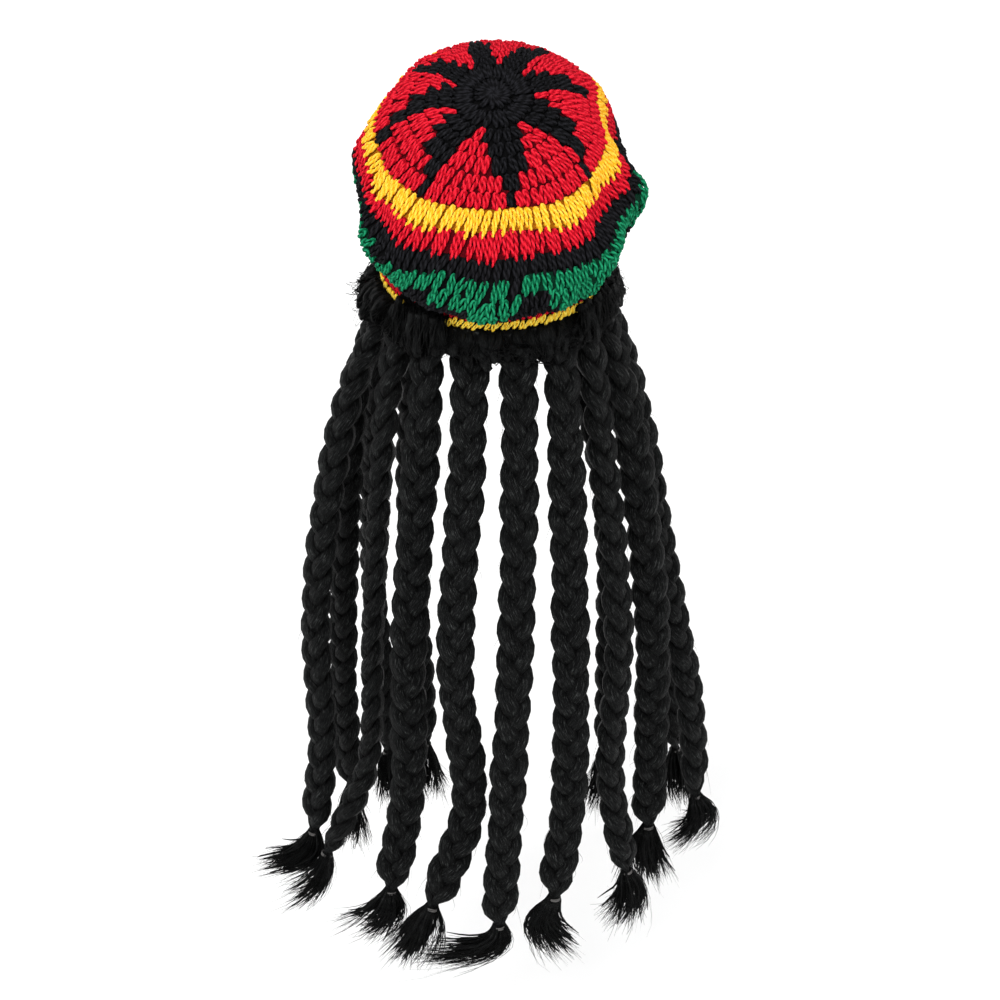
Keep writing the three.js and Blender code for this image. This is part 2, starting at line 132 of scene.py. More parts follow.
# Routes of the plaits: bulge below the root, place across and back at three heights, the way
# that the flat side faces, and the lean of the tuft.
BRAID_ROUTES = [
    (0.6, (-0.42, 0.80), (-0.38, 0.93), (-0.36, 0.97), -60, 0.1),
    (0.8, (-0.60, 0.58), (-0.57, 0.80), (-0.55, 0.87), -70, 0.2),
    (1.1, (-0.71, 0.14), (-0.74, 0.34), (-0.72, 0.42), -50, 0.1),
    (1.5, (-0.82, -0.21), (-0.82, -0.16), (-0.88, -0.12), -45, -0.8),
    (0.7, (-0.55, -0.46), (-0.60, -0.37), (-0.82, -0.32), -85, -0.5),
    (0.4, (-0.38, -0.74), (-0.40, -0.65), (-0.49, -0.62), 0, -0.6),
    (0.4, (-0.17, -0.93), (-0.12, -0.81), (-0.30, -0.85), -12, -0.25),
    (0.4, (0.09, -0.98), (0.05, -1.00), (0.02, -0.98), 20, -1.0),
    (0.4, (0.34, -0.81), (0.34, -0.74), (0.28, -0.69), 5, 0.15),
    (0.5, (0.56, -0.60), (0.54, -0.51), (0.63, -0.46), 55, -0.25),
    (0.9, (0.72, -0.28), (0.75, -0.07), (0.75, -0.01), 10, 0.05),
    (1.1, (0.81, 0.15), (0.96, 0.25), (1.00, 0.28), 50, -0.4),
    (0.8, (0.77, 0.60), (0.89, 0.79), (0.93, 0.83), 70, 0.1),
    (0.6, (0.55, 0.80), (0.57, 0.86), (0.57, 0.87), 70, -0.1),
]
ROUTE_HEIGHTS = {"neck": 0.15, "mid": 0.52, "low": 0.8, "end": 1.0, "beyond": 1.12}


# Small helpers
def table(columns, *rows):
    """A table's rows, with their values by the names of the columns."""
    return [dict(zip(columns.split(), row)) for row in rows]


def unit(vectors):
    return vectors / np.maximum(np.linalg.norm(vectors, axis=-1, keepdims=True), 1e-9)


def smooth(low, high, value):
    share = np.clip((value - low) / (high - low), 0, 1)
    return share * share * (3 - 2 * share)


def apart(angle, centre, spread):
    """How far an angle is from a centre, in half widths, with both of those in degrees."""
    turn = angle - math.radians(centre)
    return np.arctan2(np.sin(turn), np.cos(turn)) / math.radians(spread)


def hump(level, angle, centre, spread, middle, reach):
    """1 at a place on the crown, fading away over a half width and a reach in rounds."""
    return np.exp(-(apart(angle, centre, spread) ** 2) - ((level - middle) / reach) ** 2)


def curve(a, b, c, d, t):
    """A point on the way from b to c, on the smooth curve through a, b, c and d."""
    return 0.5 * (2 * b + (c - a) * t + (2 * a - 5 * b + 4 * c - d) * t**2
                  + (3 * b - a - 3 * c + d) * t**3)


def moved(points, way, amount):
    """Points moved along a way by amounts."""
    return points + way * amount[..., None]


def all_round(count):
    return np.linspace(-math.pi, math.pi, count, endpoint=False)


def outward_at(angle):
    """The level way out from the head at an angle from the back."""
    return np.stack([np.sin(angle), -np.cos(angle), 0 * angle], axis=-1)


def eased(share, amount):
    """A factor that goes from a share up to 1 as the amount goes from 0 to 1."""
    return share + (1 - share) * amount


def band_point(angle, out, up):
    """A point round the head from the back, out from the band's inner face, up from its rim."""
    x = (HEAD_WIDTH / 2 + out) * np.sin(angle)
    y = -(HEAD_LENGTH / 2 + out) * np.cos(angle)
    z = up + 0 * x
    tilted_y = y * math.cos(BAND_TILT) - z * math.sin(BAND_TILT)
    tilted_z = y * math.sin(BAND_TILT) + z * math.cos(BAND_TILT)
    return np.stack([x, tilted_y, tilted_z], axis=-1)


BAND_UP = np.array([0, -math.sin(BAND_TILT), math.cos(BAND_TILT)])


# The crown's surface as a fine grid of points and normals
def ruffle_at(angle):
    depth = np.zeros_like(angle)
    drop = np.zeros_like(angle)
    for centre, spread, deep, low in RUFFLES:
        bump = np.exp(-(apart(angle, centre, spread) ** 2))
        depth += deep * bump
        drop += low * bump
    return depth, drop


def fold_at(level, angle):
    out = np.zeros_like(angle)
    down = np.zeros_like(angle)
    for *place, far, low in FOLDS:
        bump = hump(level, angle, *place)
        out += far * bump
        down += low * bump
    return out, down


def crown_round(level, angle):
    back, back_up, front, front_up, half, side_drop, ruffle = CROWN_ROUNDS[level - 1]
    share = (1 - np.cos(angle)) / 2
    depth, drop = ruffle_at(angle)
    fold_out, fold_down = fold_at(level, angle)
    push = ruffle * depth * RUFFLE_DEPTH + fold_out
    pinch = 1 - FRONT_PINCH * ruffle * np.maximum(0, -np.cos(angle))
    x = pinch * half * CROWN_WIDTH * np.sin(angle) / 2
    y = -back * CROWN_BACK * (1 - share) + front * BAND_REACH * share
    z = (back_up * (1 - share) + front_up * share) * CROWN_TOP
    z = z - ruffle * drop * RUFFLE_DROP - fold_down - side_drop * CROWN_TOP * np.sin(angle) ** 2
    return moved(np.stack([x, y, z], axis=-1), outward_at(angle), push)


def seam_round(angle):
    return band_point(angle, KNIT_WALL + SEAM_GAP, BAND_HEIGHT - 2 * KNIT_WALL)


def under_round(row, angle):
    way, sag, bulge = row
    point = crown_round(len(CROWN_ROUNDS), angle) * (1 - way) + seam_round(angle) * way
    frontness = np.clip(TEMPLE_BULGE - BULGE_FADE * np.cos(angle), 0, 1)
    point = moved(point, outward_at(angle), bulge * FOREHEAD_BULGE * frontness)
    point[:, 2] -= sag * RIM_SAG * np.maximum(0, np.cos(angle))
    return point


GRID_ANGLES = 720
GRID_STEPS = 10
ROUND_COUNT = len(CROWN_ROUNDS) + len(UNDER_ROUNDS) + 1

# Small ripples of the rim: waves round the head, height and phase, and between which levels they
# swell up and fade away.
RIM_RIPPLES = [(9, 1.3, 0.4), (13, 1.1, 2.0), (19, 0.8, 4.1)]
RIPPLE_SWELL = (7, 10.5)
RIPPLE_FADE = (12.5, 14.5)

# Small dents and bumps between the folds: angle, half width, round, reach, depth of the dent.
DENTS = [
    (96, 10, 7.9, 0.8, 5), (80, 9, 10.4, 0.8, 4.5), (52, 6, 8.6, 1.2, 3), (-56, 6, 8, 1.4, 3),
    (-98, 10, 8.2, 0.8, -3.5), (-80, 8, 9.7, 0.7, 3.5), (-30, 10, 10.8, 0.8, 1.5), (16, 7, 10.8, 0.8, 2),
]


def crown_rings(angle):
    """The crown's rounds as rings of points, from the pole to the seam."""
    pole = np.array([0, -CROWN_POLE[0] * CROWN_BACK, CROWN_POLE[1] * CROWN_TOP])
    rings = [np.tile(pole, (GRID_ANGLES, 1))]
    rings += [crown_round(level, angle) for level in range(1, len(CROWN_ROUNDS) + 1)]
    rings += [under_round(row, angle) for row in UNDER_ROUNDS]
    return [*rings, seam_round(angle)]


def crown_grid():
    """Points on the crown in fine rows from the pole to the seam, each with its normal."""
    angle = all_round(GRID_ANGLES)
    rings = crown_rings(angle)
    before = 2 * rings[0] - np.roll(rings[1], GRID_ANGLES // 2, axis=0)
    held = [before, *rings, 2 * rings[-1] - rings[-2]]
    rows = [curve(*held[i:i + 4], step / GRID_STEPS)
            for i in range(ROUND_COUNT) for step in range(GRID_STEPS)]
    grid = np.array([*rows, rings[-1]])
    level = np.arange(len(grid))[:, None] / GRID_STEPS
    ripple = sum(height * np.sin(waves * angle + phase) for waves, height, phase in RIM_RIPPLES)
    push = smooth(*RIPPLE_SWELL, level) * (1 - smooth(*RIPPLE_FADE, level)) * ripple
    push = push - sum(depth * hump(level, angle, *place) for *place, depth in DENTS)
    grid = moved(grid, outward_at(angle), push)
    down = np.gradient(grid, axis=0)
    round_way = np.roll(grid, -1, axis=1) - np.roll(grid, 1, axis=1)
    normals = unit(np.cross(down, round_way))
    normals[0] = unit(normals[1].mean(axis=0))
    return np.concatenate([grid, normals], axis=-1)


CROWN_GRID = crown_grid()


def on_crown(level, angle, height):
    """Points on the crown at a round's level and an angle from the back, raised along the normal."""
    row = np.clip(level * GRID_STEPS, 0, len(CROWN_GRID) - 1.001)
    column = ((angle + math.pi) / (2 * math.pi) * GRID_ANGLES) % GRID_ANGLES
    low_row = row.astype(int)
    low_column = column.astype(int) % GRID_ANGLES
    high_column = (low_column + 1) % GRID_ANGLES
    down = (row - low_row)[..., None]
    across = (column - column.astype(int))[..., None]
    top, bottom = (CROWN_GRID[low_row + step, low_column] * (1 - across)
                   + CROWN_GRID[low_row + step, high_column] * across for step in (0, 1))
    point, normal = np.split(top * (1 - down) + bottom * down, 2, axis=-1)
    normal = unit(normal)
    return moved(point, normal, height), normal


# Meshes made of arrays of tubes
PLIES = 2


def quad_uv(u, step, low, high):
    """The UVs of quads that run from u on by a step across, and from low to high along."""
    corners = [(u, low), (u, high), (u + step, high), (u + step, low)]
    return np.stack([np.stack(corner, axis=-1) for corner in corners], axis=-2)


class Shape:
    """Collects tubes and sheets into one mesh."""

    def __init__(self):
        self.points = []
        self.faces = {4: [], 3: []}
        self.count = 0

    def add_faces(self, corners, uv, slots):
        """Faces between the points that are added next, with their UVs and material slots."""
        self.faces[corners.shape[-1]].append((corners + self.count, uv, slots))

    def add_points(self, points):
        self.points.append(points)
        self.count += len(points)

    def tubes(self, paths, ups, section, size, twist=0.0, slot=0):
        """Tubes along paths (count, steps, 3), each with the section's points round it.

        size scales the section's width and depth at each step, and twist turns it, in radians
        for each millimetre along the path. slot is one material slot or one for each tube.
        """
        count, steps, _ = paths.shape
        sides = len(section)
        along = unit(np.gradient(paths, axis=1))
        wide = unit(np.cross(along, ups))
        deep = np.cross(wide, along)
        run = np.zeros((count, steps, 1))
        run[:, 1:, 0] = np.cumsum(np.linalg.norm(np.diff(paths, axis=1), axis=-1), axis=1)
        size = np.broadcast_to(size, (count, steps, 2))
        cos, sin = np.cos(twist * run), np.sin(twist * run)
        a = (section[:, 0] * cos - section[:, 1] * sin) * size[..., 0:1]
        b = (section[:, 0] * sin + section[:, 1] * cos) * size[..., 1:2]
        rings = moved(moved(paths[:, :, None], wide[:, :, None], a), deep[:, :, None], b)
        index = np.arange(a.size).reshape(a.shape)
        after = np.roll(index, -1, axis=2)
        quads = np.stack([index[:, :-1], index[:, 1:], after[:, 1:], after[:, :-1]], axis=-1)
        u = np.arange(sides) / sides + 0 * run[:, 1:]
        uv = quad_uv(u, 1 / sides, run[:, :-1] + 0 * u, run[:, 1:] + 0 * u)
        first = a.size + np.arange(count)[:, None] + 0 * index[:, 0]
        tris = np.concatenate([np.stack([first, index[:, 0], after[:, 0]], axis=-1),
                               np.stack([first + count, after[:, -1], index[:, -1]], axis=-1)])
        slots = np.broadcast_to(slot, count)
        self.add_faces(quads.reshape(-1, 4), uv, np.repeat(slots, (steps - 1) * sides))
        self.add_faces(tris.reshape(-1, 3), np.zeros(tris.shape[:2] + (3, 2)),
                       np.tile(np.repeat(slots, sides), 2))
        self.add_points(np.concatenate([rings.reshape(-1, 3), paths[:, 0], paths[:, -1]]))

    def sheet(self, grid, uv, closed_round=True, flip=False, slot=0):
        """A sheet of quads over a grid (rows, columns, 3), closed round its columns or open."""
        rows, columns, _ = grid.shape
        index = np.arange(rows * columns).reshape(rows, columns)
        after = np.roll(index, -1, axis=1)
        used = columns if closed_round else columns - 1
        quads = np.stack([index[:-1], index[1:], after[1:], after[:-1]], axis=-1)[:, :used]
        u = np.arange(used) / used + np.zeros((rows - 1, 1))
        uvs = quad_uv(u, 1 / used, uv[:-1, None] + 0 * u, uv[1:, None] + 0 * u)
        if flip:
            quads, uvs = quads[..., ::-1], uvs[..., ::-1, :]
        self.add_faces(quads.reshape(-1, 4), uvs, np.broadcast_to(slot, u.size))
        self.add_points(grid.reshape(-1, 3))

    def make(self, name, materials, replaced=()):
        """Makes the mesh object, in metres, riding on the part's body."""
        points = np.concatenate(self.points) * MM
        faces = self.faces[4] + self.faces[3]
        corners = np.concatenate([found.ravel() for found, _, _ in faces])
        uvs = np.concatenate([uv.reshape(-1, 2) for _, uv, _ in faces])
        slots = np.concatenate([slots for _, _, slots in faces])
        totals = np.concatenate([np.full(len(found), found.shape[1]) for found, _, _ in faces])
        starts = np.cumsum(totals) - totals
        mesh = bpy.data.meshes.new(name)
        mesh.vertices.add(len(points))
        mesh.vertices.foreach_set("co", points.astype(np.float32).ravel())
        mesh.loops.add(len(corners))
        mesh.loops.foreach_set("vertex_index", corners.astype(np.int32))
        mesh.polygons.add(len(totals))
        for field, values in (("loop_start", starts), ("loop_total", totals), ("material_index", slots)):
            mesh.polygons.foreach_set(field, values.astype(np.int32))
        mesh.polygons.foreach_set("use_smooth", np.ones(len(totals), bool))
        layer = mesh.uv_layers.new(name="UVMap")
        layer.data.foreach_set("uv", uvs.astype(np.float32).ravel())
        mesh.update(calc_edges=True)
        mesh.validate()
        for material in materials:
            mesh.materials.append(material)
        piece = bpy.data.objects.new(name, mesh)
        bpy.context.scene.collection.objects.link(piece)
        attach(piece, BODY)
        if replaced:
            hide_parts(*replaced)


def round_section(angle, radius):
    return np.stack([radius * np.cos(angle), radius * np.sin(angle)], axis=-1)


def ring_section(sides, waist=0.0):
    """A section of radius 1 with a waist, as a share of it, between its two plies."""
    angle = np.arange(sides) / sides * 2 * math.pi
    return round_section(angle, 1 - waist + waist * np.cos(PLIES * angle))


def through(knots, steps):
    """Smooth paths through knots (count, knots, 3), evenly sampled in the knots' own numbering."""
    last = knots.shape[1] - 1
    position = np.linspace(0, last, steps)
    cell = np.minimum(position.astype(int), last - 1)
    before = 2 * knots[:, :1] - knots[:, 1:2]
    beyond = 2 * knots[:, -1:] - knots[:, -2:-1]
    held = np.concatenate([before, knots, beyond], axis=1)
    return curve(*(held[:, cell + i] for i in range(4)), (position - cell)[None, :, None])


# Materials
def linear(red, green, blue):
    """A colour from 0 to 255 as the shader's linear values."""
    return tuple((c / 255 / 12.92 if c <= 10 else ((c / 255 + 0.055) / 1.055) ** 2.4)
                 for c in (red, green, blue)) + (1.0,)


def node_on(tree, kind, inputs, **settings):
    """A new node's outputs. Its inputs are values, or the outputs of other nodes to link."""
    node = tree.nodes.new("ShaderNode" + kind)
    for name, value in settings.items():
        setattr(node, name, value)
    for name, value in inputs.items():
        if isinstance(value, bpy.types.NodeSocket):
            tree.links.new(value, node.inputs[name])
        else:
            node.inputs[name].default_value = value
    return node.outputs


def new_material(name, roughness, specular):
    material = bpy.data.materials.new(name)
    material.use_nodes = True
    shader = material.node_tree.nodes["Principled BSDF"]
    shader.inputs["Roughness"].default_value = roughness
    shader.inputs["Specular IOR Level"].default_value = specular
    return material, material.node_tree, shader


def uv_on(tree):
    return node_on(tree, "UVMap", {}, uv_map="UVMap")["UV"]


def noise_on(tree, scale, detail, roughness, **vector):
    settings = {"Scale": scale, "Detail": detail, "Roughness": roughness}
    return node_on(tree, "TexNoise", settings | vector)["Fac"]


def fibres_on(tree, across, along, detail):
    """Fine fibres on the piece's UV: how close across the yarn or lock, and along it for a mm."""
    stretched = node_on(tree, "Mapping", {"Vector": uv_on(tree), "Scale": (across, along, 1)})
    return noise_on(tree, 1.0, detail, 0.8, Vector=stretched["Vector"])


def ramp_on(tree, factor, stops):
    ramp = tree.nodes.new("ShaderNodeValToRGB")
    while len(ramp.color_ramp.elements) < len(stops):
        ramp.color_ramp.elements.new(0.5)
    for element, (position, colour) in zip(ramp.color_ramp.elements, stops):
        element.position = position
        element.color = colour
    tree.links.new(factor, ramp.inputs["Fac"])
    return ramp.outputs["Color"]


def finish_on(tree, shader, colour, height, strength, distance):
    """Links the colour, and a bump that is so strong and so deep in metres."""
    bump = node_on(tree, "Bump", {"Strength": strength, "Distance": distance, "Height": height})
    tree.links.new(bump["Normal"], shader.inputs["Normal"])
    tree.links.new(colour, shader.inputs["Base Color"])


def math_on(tree, operation, *values):
    return node_on(tree, "Math", dict(enumerate(values)), operation=operation)["Value"]


def ply_on(tree):
    """How near a point of the yarn is to the crest of a ply: 1 there, -1 in the groove."""
    split = node_on(tree, "SeparateXYZ", {"Vector": uv_on(tree)})
    return math_on(tree, "COSINE", math_on(tree, "MULTIPLY", split["X"], PLIES * 2 * math.pi))


def shaded_on(tree, colour, distance, power):
    """The colour with painted shade: darkened by ambient occlusion in the creases between neighbouring
    locks.
    """
    crease = node_on(tree, "AmbientOcclusion", {"Distance": distance}, samples=4)
    light = math_on(tree, "POWER", crease["AO"], power)
    return node_on(tree, "VectorMath", {"Vector": colour, "Scale": light}, operation="SCALE")["Vector"]


def yarn_material(name, shade, body, light, sheen):
    """Two-ply acrylic yarn: painted shade in the grooves between the plies, a painted highlight on their
    crests, fine fibres and a little fuzz.
    """
    material, tree, shader = new_material(name, 0.8, 0.05)
    shader.inputs["Sheen Weight"].default_value = sheen
    shader.inputs["Sheen Roughness"].default_value = 0.4
    shader.inputs["Sheen Tint"].default_value = light
    fibres = fibres_on(tree, 14, 0.5, 5.0)
    # Painted shade and highlight: the ply term darkens the colour toward the grooves and lightens it on
    # the crests, on top of the fibres' own tone.
    value = math_on(tree, "MULTIPLY_ADD", ply_on(tree), 0.17, fibres)
    colour = ramp_on(tree, value, [(0.24, shade), (0.47, body), (0.78, light)])
    finish_on(tree, shader, colour, fibres, 0.8, 0.0008)
    return material


def hair_material(name, light, crease_shade_power):
    """Black synthetic hair: short fine fibres along the lock with painted highlight streaks, and painted
    shade where locks meet.
    """
    material, tree, shader = new_material(name, 0.5, 0.045)
    fibres = fibres_on(tree, 85, 0.16, 6.0)
    # The fibres run from near black through the hair's own dark grey up to a painted highlight.
    stops = [(0.42, linear(3, 3, 4)), (0.55, linear(19, 20, 20)), (0.68, light)]
    # Painted shade: ambient occlusion darkens the colour where locks meet.
    colour = shaded_on(tree, ramp_on(tree, fibres, stops), 0.012, crease_shade_power)
    finish_on(tree, shader, colour, fibres, 1.0, 0.0018)
    return material


def grained_material(name, roughness, specular, grain, stops, bump):
    """A plain material with a grain's scale, detail and roughness, its colours and its bump."""
    material, tree, shader = new_material(name, roughness, specular)
    noise = noise_on(tree, *grain)
    finish_on(tree, shader, ramp_on(tree, noise, stops), noise, *bump)
    return material


def shaded_backing_material(name, shade, body):
    """The close fabric behind the raised stitches, in darker copies of the yarns: painted shade in the
    gaps between stitches.
    """
    stops = [(0.35, shade), (0.7, body)]
    return grained_material(name, 0.95, 0.1, (420, 3.0, 0.6), stops, (0.8, 0.0012))


BLACK, RED, YELLOW, GREEN = 0, 1, 2, 3
# Each yarn: painted shade for its grooves, its own colour on the plies, a painted highlight for its
# crests, and its sheen.
YARNS = [
    yarn_material("black_yarn", linear(4, 4, 5), linear(15, 15, 17), linear(34, 34, 38), 0.02),
    yarn_material("red_yarn", linear(112, 2, 12), linear(192, 10, 32), linear(240, 46, 64), 0.04),
    yarn_material("yellow_yarn", linear(230, 146, 14), linear(252, 191, 42), linear(255, 212, 90), 0.04),
    yarn_material("green_yarn", linear(1, 50, 30), linear(6, 101, 65), linear(40, 160, 112), 0.04),
]
# The band's yellow is the crown's yellow yarn painted lighter: painted light on the band where it sits
# in shade under the rim.
LIT_BAND_YELLOW = yarn_material(
    "band_yellow_painted_light_yarn", linear(226, 150, 10), linear(255, 212, 54), linear(255, 244, 120), 0.04)
# Darker copies of the yarns, as painted shade for the fabric seen between and behind the stitches.
SHADED_BACKINGS = [
    shaded_backing_material("black_shaded_backing", linear(2, 2, 3), linear(10, 10, 11)),
    shaded_backing_material("red_shaded_backing", linear(48, 0, 5), linear(112, 4, 18)),
    shaded_backing_material("yellow_shaded_backing", linear(120, 58, 2), linear(200, 128, 10)),
    shaded_backing_material("green_shaded_backing", linear(1, 24, 16), linear(4, 62, 40)),
]
# Plaited hair has strong painted shade in its creases; loose hair is a copy with weak painted shade and
# a brighter painted highlight.
HAIR = hair_material("plaited_hair", linear(97, 100, 99), 1.6)
LOOSE_HAIR = hair_material("loose_hair", linear(116, 118, 117), 0.3)
ELASTIC_COLOURS = [(0.3, linear(48, 46, 46)), (0.7, linear(92, 90, 88))]
ELASTIC = grained_material("smoky_elastic", 0.35, 0.5, (600, 2.0, 0.5), ELASTIC_COLOURS, (0.3, 0.0003))


# Crochet of the crown: its wedges, and how far the star swirls, where that fades and how uneven it is
WEDGES = 8
WEDGE_TURN = math.radians(11)
SWIRL = math.radians(15)
SWIRL_FADE = (3.0, 6.2)
SWIRL_SKEW = 0.25

# Rounds of stitches from the pole: the level where each starts, its stitches, its colour, and how
# many are red in each wedge. A round runs to the level where the next one starts.
STITCH_ROUNDS = table(
    "level stitches colour red",
    (0, 16, BLACK, 0), (0.95, 32, BLACK, 0), (1.9, 40, BLACK, 1), (2.7, 56, BLACK, 3),
    (3.4, 72, BLACK, 5), (4.25, 80, BLACK, 8), (5.12, 88, BLACK, 10), (6, 92, YELLOW, 0),
    (7, 96, RED, 0), (8, 96, BLACK, 0), (9, 82, GREEN, 0), (10, 82, GREEN, 0), (11, 80, BLACK, 0),
    (12, 80, BLACK, 0), (13, 78, BLACK, 0), (14, 78, BLACK, 0), (15, 78, BLACK, 0))
ROUND_LEVELS = np.array([row["level"] for row in STITCH_ROUNDS] + [ROUND_COUNT])
YELLOW_ROUND, GREEN_ROUND, LOWER_GREEN_ROUND, EDGE_ROUND, UNDER_ROUND = 7, 10, 11, 12, 13

# Stretches of black in the two green rounds, in degrees round from the back.
BLACK_STRETCHES = {
    GREEN_ROUND: [(-96, -84), (-58, -52), (7, 13), (118, 130), (160, 172), (-150, -142)],
    LOWER_GREEN_ROUND: [(-110, -96), (-37, -30), (13, 25), (140, 152), (-170, -160)],
}
BLACK_BEHIND_GREEN = (-62, 13)
GREEN_EDGE_STRETCHES = [(-13, 8), (-62, -46), (30, 60), (96, 120)]


def stitch_angle(level, angle):
    """Where a stitch lies round the crown: the rounds near the pole fan out towards the back."""
    fan = SWIRL * (1 - smooth(*SWIRL_FADE, level))
    turn = angle - WEDGE_TURN
    return angle + fan * np.sin(turn) * (1 + SWIRL_SKEW * np.cos(turn))


# Where the rounds run lower or higher than even: angle, half width, round, reach, how many rounds.
ROUND_SHIFTS = [
    (0, 24, 6.6, 1.3, -0.35), (-66, 9, 6.9, 1, 0.6), (-43, 14, 9.2, 1.1, 0.8), (48, 13, 9.1, 1, 0.45),
    (75, 9, 7.2, 0.8, 0.25), (89, 9, 9.1, 1, -0.7), (-38, 12, 7.2, 0.9, 0.3), (37, 9, 7.1, 0.7, 0.2),
]


def stitch_level(level, angle):
    """The level on the surface where a level of the stitches runs."""
    return level + sum(rounds * hump(level, angle, *place) for *place, rounds in ROUND_SHIFTS)


def within(angle, stretches):
    degrees = np.degrees((angle + math.pi) % (2 * math.pi) - math.pi)
    found = np.zeros(np.shape(angle), bool)
    for low, high in stretches:
        found |= (degrees >= low) & (degrees <= high)
    return found


def colour_at(number, angle):
    """The yarn of the stitches of a round at these angles."""
    row = STITCH_ROUNDS[number]
    colour = np.full(np.shape(angle), row["colour"])
    wedge = 2 * math.pi / WEDGES
    share = ((angle - WEDGE_TURN) / wedge) % 1.0
    half = row["red"] / (row["stitches"] / WEDGES) / 2
    colour[np.abs(share - 0.5) < half] = RED
    if number in BLACK_STRETCHES:
        colour[within(angle, BLACK_STRETCHES[number])] = BLACK
    if number == EDGE_ROUND:
        colour[within(angle, GREEN_EDGE_STRETCHES)] = GREEN
    return colour


# One stitch's yarn: across in stitch widths, along from its head to its foot, height in mm.
STITCH_LOOP = np.array([
    (-0.30, 0.96, -1.3), (-0.29, 0.76, -0.6), (-0.25, 0.52, -0.3), (-0.20, 0.28, -0.4),
    (-0.10, 0.09, -0.9), (0.08, 0.03, -1.1), (0.22, 0.17, -0.6), (0.23, 0.42, -0.2),
    (0.15, 0.68, 0.0), (0.03, 0.90, 0.1), (-0.06, 1.08, 0.0), (-0.11, 1.24, -0.7),
])
STITCH_LEAN = 1.0
STITCH_LEAN_START = 0.25
LEAN_TURN = 1.6
STAR_FOOT = 0.35
STAR_LENGTH = 0.93
FOOT_START = 0.9
YARN_RADIUS = 1.6
UNDER_FLATTEN = 1.0
FLATTEN_LEVELS = (11, 12)
PLY_WAIST = 0.15
PLY_TWIST = 2 * math.pi / 12

# How unevenly the stitches lie: in stitch widths, shares of the stitch and, for the height, in mm.
UNEVEN = {"place": 0.09, "lean": 0.2, "length": 0.06, "width": 0.14, "along": 0.035, "height": 0.35}

# How finely coloured, black and hidden yarn is made, and its ends: the head, and two at the foot.
COLOURED_YARN, BLACK_YARN, HIDDEN_YARN = table(
    "sides waist steps", (10, PLY_WAIST, 20), (6, PLY_WAIST / 2, 15), (6, PLY_WAIST / 2, 11))
YARN_ENDS = [0.6, 0.8, 0.4]
rng = np.random.default_rng(7)


def uneven(kind, count):
    return rng.normal(0, UNEVEN[kind], count)


def stitch_paths(number):
    """Yarn paths of a round's stitches, with their colours."""
    count = STITCH_ROUNDS[number]["stitches"]
    first, last = ROUND_LEVELS[number], ROUND_LEVELS[number + 1]
    pitch = 2 * math.pi / count
    centre = (np.arange(count) + 0.5) * pitch - math.pi + WEDGE_TURN
    colours = colour_at(number, centre)
    centre = centre + uneven("place", count) * pitch
    lean = STITCH_LEAN_START - STITCH_LEAN * np.tanh(LEAN_TURN * np.sin(centre))
    lean = lean + uneven("lean", count)
    length = 1 + uneven("length", count)
    width = 1 + uneven("width", count)
    sideways, knots, rise = STITCH_LOOP.T
    if number < YELLOW_ROUND:
        knots = np.where(knots > FOOT_START, FOOT_START + (knots - FOOT_START) * STAR_FOOT, knots)
        length = length * STAR_LENGTH
    across = sideways * width[:, None] + lean[:, None] * (0.5 - knots)
    along = 0.5 + (knots - 0.5) * length[:, None] + uneven("along", count)[:, None]
    level = first + along * (last - first)
    angle = stitch_angle(level, centre[:, None] + across * pitch)
    height = rise + uneven("height", count)[:, None]
    height = height - UNDER_FLATTEN * smooth(*FLATTEN_LEVELS, (first + last) / 2)
    points, normals = on_crown(stitch_level(level, angle), angle, height)
    return points, normals, colours


def round_stitches(shape, number):
    """The raised stitches of one round: finer where they are coloured, coarser out of sight."""
    knots, normals, colours = stitch_paths(number)
    black = BLACK_YARN if number < UNDER_ROUND else HIDDEN_YARN
    for part, yarn in ((colours != BLACK, COLOURED_YARN), (colours == BLACK, black)):
        if not part.any():
            continue
        steps = yarn["steps"]
        radius = np.full((steps, 1), YARN_RADIUS)
        radius[[0, -2, -1], 0] *= YARN_ENDS
        shape.tubes(through(knots[part], steps), through(normals[part], steps),
                    ring_section(yarn["sides"], yarn["waist"]), radius, PLY_TWIST, slot=colours[part])


def make_crown_stitches():
    """The raised stitches of the crown, in three pieces."""
    bounds = [0, YELLOW_ROUND, UNDER_ROUND, len(STITCH_ROUNDS)]
    for part, first, last in zip(("star", "rim", "under"), bounds, bounds[1:]):
        shape = Shape()
        for number in range(first, last):
            round_stitches(shape, number)
        replaced = ("crown",) if part == "star" else ()
        shape.make(f"crown_{part}_stitches", YARNS, replaced)


# The wall behind the stitches: its depth, its rows in each round, its columns and its inner loops.
BACKING_DEPTH = 1.9
BACKING_ROWS = 3
BACKING_COLUMNS = 240
INNER_LOOP_HEIGHT = 0.35
INNER_LOOPS = 84


def backing_colour(number, angle):
    """The yarn behind the stitches: the stitches' own, but black where green loops stand apart."""
    colour = colour_at(number, angle)
    colour[(colour == GREEN) & within(angle, [BLACK_BEHIND_GREEN])] = BLACK
    return colour


